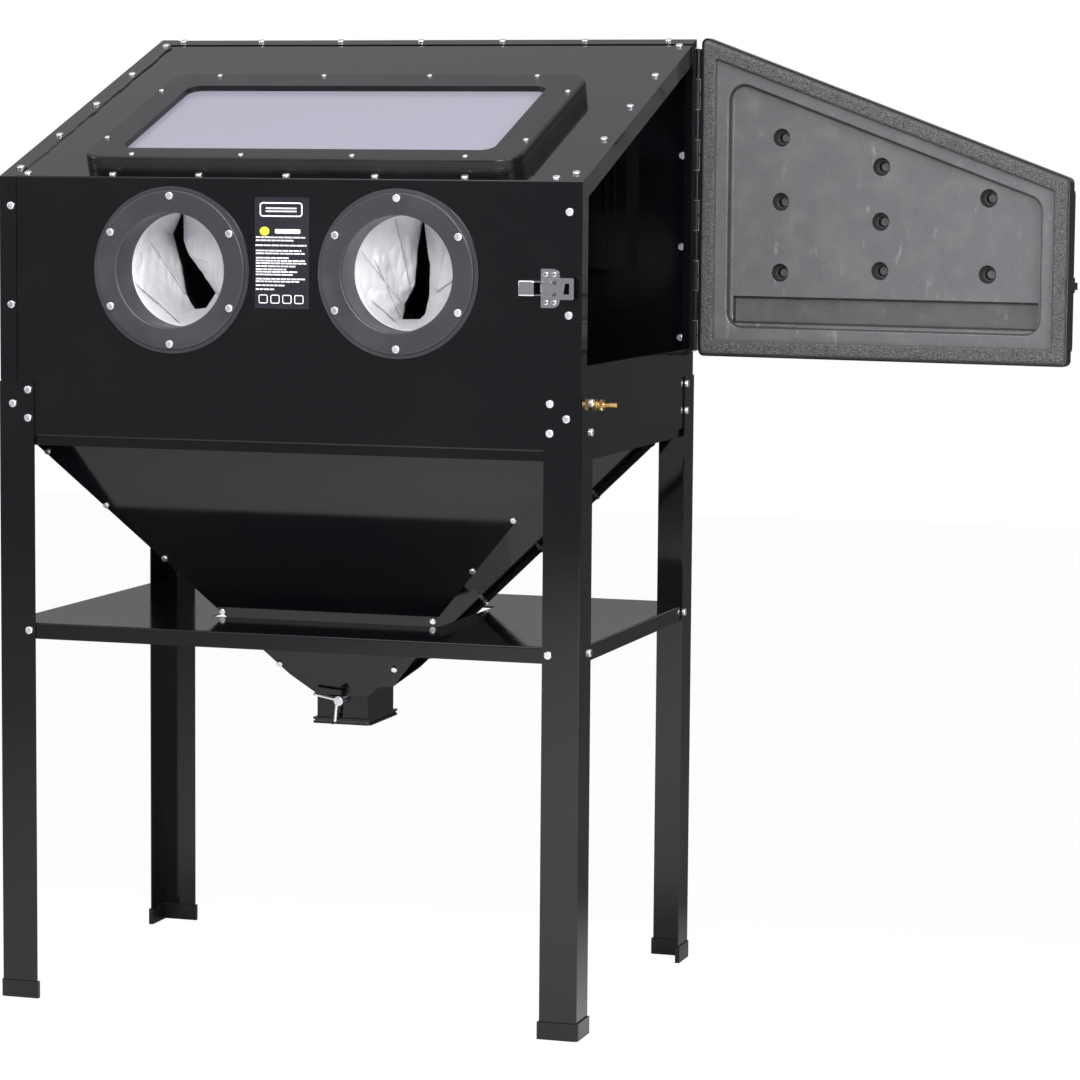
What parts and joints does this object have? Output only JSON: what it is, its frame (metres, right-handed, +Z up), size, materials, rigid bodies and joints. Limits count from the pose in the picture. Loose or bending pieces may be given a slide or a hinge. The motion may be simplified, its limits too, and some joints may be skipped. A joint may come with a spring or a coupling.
{
  "type": "sandblast cabinet",
  "caption": "Floor-standing sandblast cabinet: sloping window roof, two glove ports, side door on a long hinge with a toggle latch, bolted hopper with a dump door, angle legs and a shelf.",
  "frame": {"origin": "on the floor under the middle of the cabinet body and its four legs", "axes": "+X towards the side door, +Y to the rear, +Z up; the operator stands at -Y"},
  "size_m": [1.4921, 0.6636, 1.4222],
  "materials": {
    "black_powder_coat": "gloss",
    "door_coat": "satin",
    "black_moulding": "satin",
    "grey_moulding": "satin",
    "window_glazing": "clear",
    "diffuser": "frosted",
    "zinc": "zinc plated",
    "latch_chrome": "polished",
    "brass": "machined",
    "seal_foam": "open cell",
    "glove_lining": "silver cloth",
    "label": "plain",
    "gun_metal": "cast",
    "ceramic": "ceramic",
    "pickup_pipe": "satin"
  },
  "bodies": {
    "cabinet": {"air_inlet": "brass", "base_frame": "black_powder_coat", "dump_pins": "zinc", "exhaust_baffle": "black_powder_coat", "exhaust_spigot": "black_powder_coat", "foot_front_left": "black_moulding", "foot_front_right": "black_moulding", "foot_rear_left": "black_moulding", "foot_rear_right": "black_moulding", "front_panel": "black_powder_coat", "glove_clamps": "zinc", "glove_left": "glove_lining", "glove_right": "glove_lining", "gun_hook": "black_powder_coat", "hinge_leaf_body": "zinc", "hinge_pin": "zinc", "hopper_bolts": "zinc", "hopper_front": "black_powder_coat", "hopper_left": "black_powder_coat", "hopper_rear": "black_powder_coat", "hopper_right": "black_powder_coat", "label_plate": "label", "latch_base": "latch_chrome", "left_side_panel": "black_powder_coat", "leg_bolts": "zinc", "leg_front_left": "black_powder_coat", "leg_front_right": "black_powder_coat", "leg_rear_left": "black_powder_coat", "leg_rear_right": "black_powder_coat", "light_diffuser": "diffuser", "light_housing": "black_powder_coat", "outlet_box": "black_powder_coat", "panel_bolts": "zinc", "pickup_tube": "pickup_pipe", "port_bolts": "zinc", "port_ring_left": "black_moulding", "port_ring_right": "black_moulding", "rear_panel": "black_powder_coat", "right_side_panel": "black_powder_coat", "roof_panel": "black_powder_coat", "shelf": "black_powder_coat", "window_base_frame": "black_moulding", "window_pane": "window_glazing", "window_screws": "zinc", "window_top_frame": "black_moulding"},
    "door": {"door_shell": "door_coat", "door_panel": "grey_moulding", "door_seal": "seal_foam", "door_keeper": "zinc", "hinge_leaf_door": "zinc"},
    "latch_lever": {"latch_lever": "latch_chrome", "latch_claw_pin": "latch_chrome"},
    "latch_claw": {"latch_claw": "latch_chrome"},
    "dump_door": {"dump_door": "black_powder_coat", "dump_seal": "seal_foam"},
    "dump_lever": {"dump_lever": "zinc"},
    "blast_gun": {"gun_body": "gun_metal", "gun_nozzle": "ceramic"},
    "gun_trigger": {"gun_trigger": "gun_metal"},
    "work_grate": {"work_grate": "black_powder_coat"}
  },
  "joints": [
    {"name": "door_hinge", "type": "hinge", "parent": "cabinet", "child": "door", "pos_m": [0.4418, 0.3035, 1.176], "axis": [0, 0, 1], "range_deg": [-81.5, 40]},
    {"name": "latch_lever_pivot", "type": "hinge", "parent": "cabinet", "child": "latch_lever", "pos_m": [0.398, -0.309, 1.0575], "axis": [0, 0, 1], "range_deg": [0, 120]},
    {"name": "latch_claw_pivot", "type": "hinge", "parent": "latch_lever", "child": "latch_claw", "pos_m": [0.386, -0.3118, 1.0575], "axis": [0, 0, 1], "range_deg": [-120, 0]},
    {"name": "dump_door_hinge", "type": "hinge", "parent": "cabinet", "child": "dump_door", "pos_m": [0, 0.068, 0.397], "axis": [1, 0, 0], "range_deg": [0, 110]},
    {"name": "dump_lever_pivot", "type": "hinge", "parent": "cabinet", "child": "dump_lever", "pos_m": [0, -0.07, 0.4305], "axis": [0, -1, 0], "range_deg": [0, 60]},
    {"name": "gun_lift", "type": "slide", "parent": "cabinet", "child": "blast_gun", "axis": [0, 0, 1], "range_m": [0, 0.04]},
    {"name": "gun_trigger_pivot", "type": "hinge", "parent": "blast_gun", "child": "gun_trigger", "pos_m": [-0.4, 0.128, 0.99], "axis": [1, 0, 0], "range_deg": [-10, 0], "stiffness_Nm_per_rad": 0.05, "springref_deg": 11.46},
    {"name": "grate_lift", "type": "slide", "parent": "cabinet", "child": "work_grate", "axis": [0, 0, 1], "range_m": [0, 0.03]}
  ],
  "couplings": [
    {"joint": "latch_claw_pivot", "follows": "latch_lever_pivot", "ratio": -1}
  ]
}
